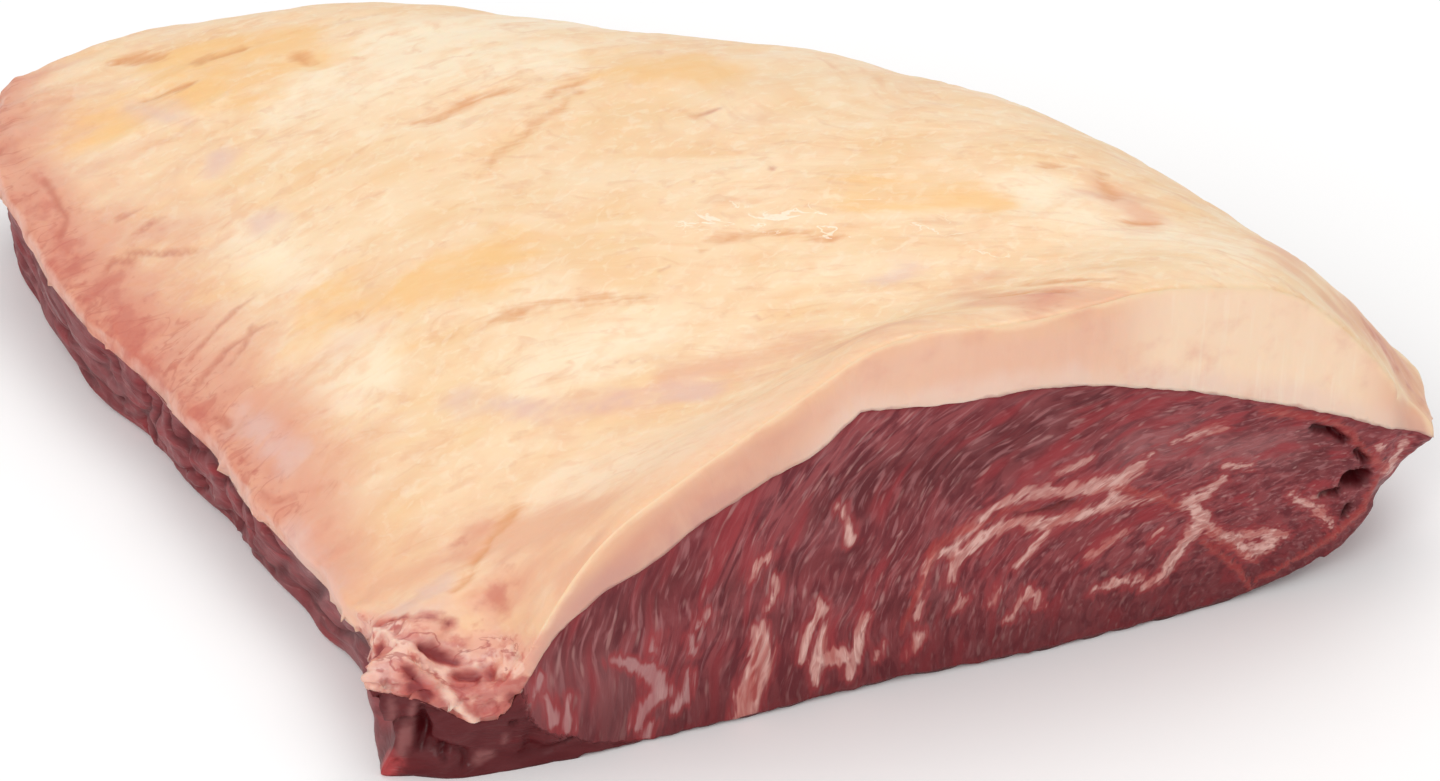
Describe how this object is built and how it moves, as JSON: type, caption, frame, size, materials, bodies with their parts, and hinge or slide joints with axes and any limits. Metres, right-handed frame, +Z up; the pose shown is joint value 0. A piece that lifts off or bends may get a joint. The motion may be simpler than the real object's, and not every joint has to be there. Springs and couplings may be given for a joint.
{
  "type": "raw beef roast",
  "caption": "Raw boneless beef roast with a knife-cut face, dark marbled lean and a thick domed fat cap that slopes to a thin rim at the sides and back.",
  "frame": {"origin": "under the middle of the roast's box, on the surface it lies on", "axes": "+Z up, +X along the knife cut towards its thick right end, +Y from the cut face to the back"},
  "size_m": [0.3252, 0.3102, 0.1009],
  "materials": {
    "lean": "moist raw muscle, brownish maroon with pale pink marbling, soft wet gloss",
    "fat": "raw beef fat, cream to pale yellow with pink patches, waxy with a soft sheen"
  },
  "bodies": {
    "root": {"lean": "lean", "fat_cap": "fat"}
  },
  "joints": []
}
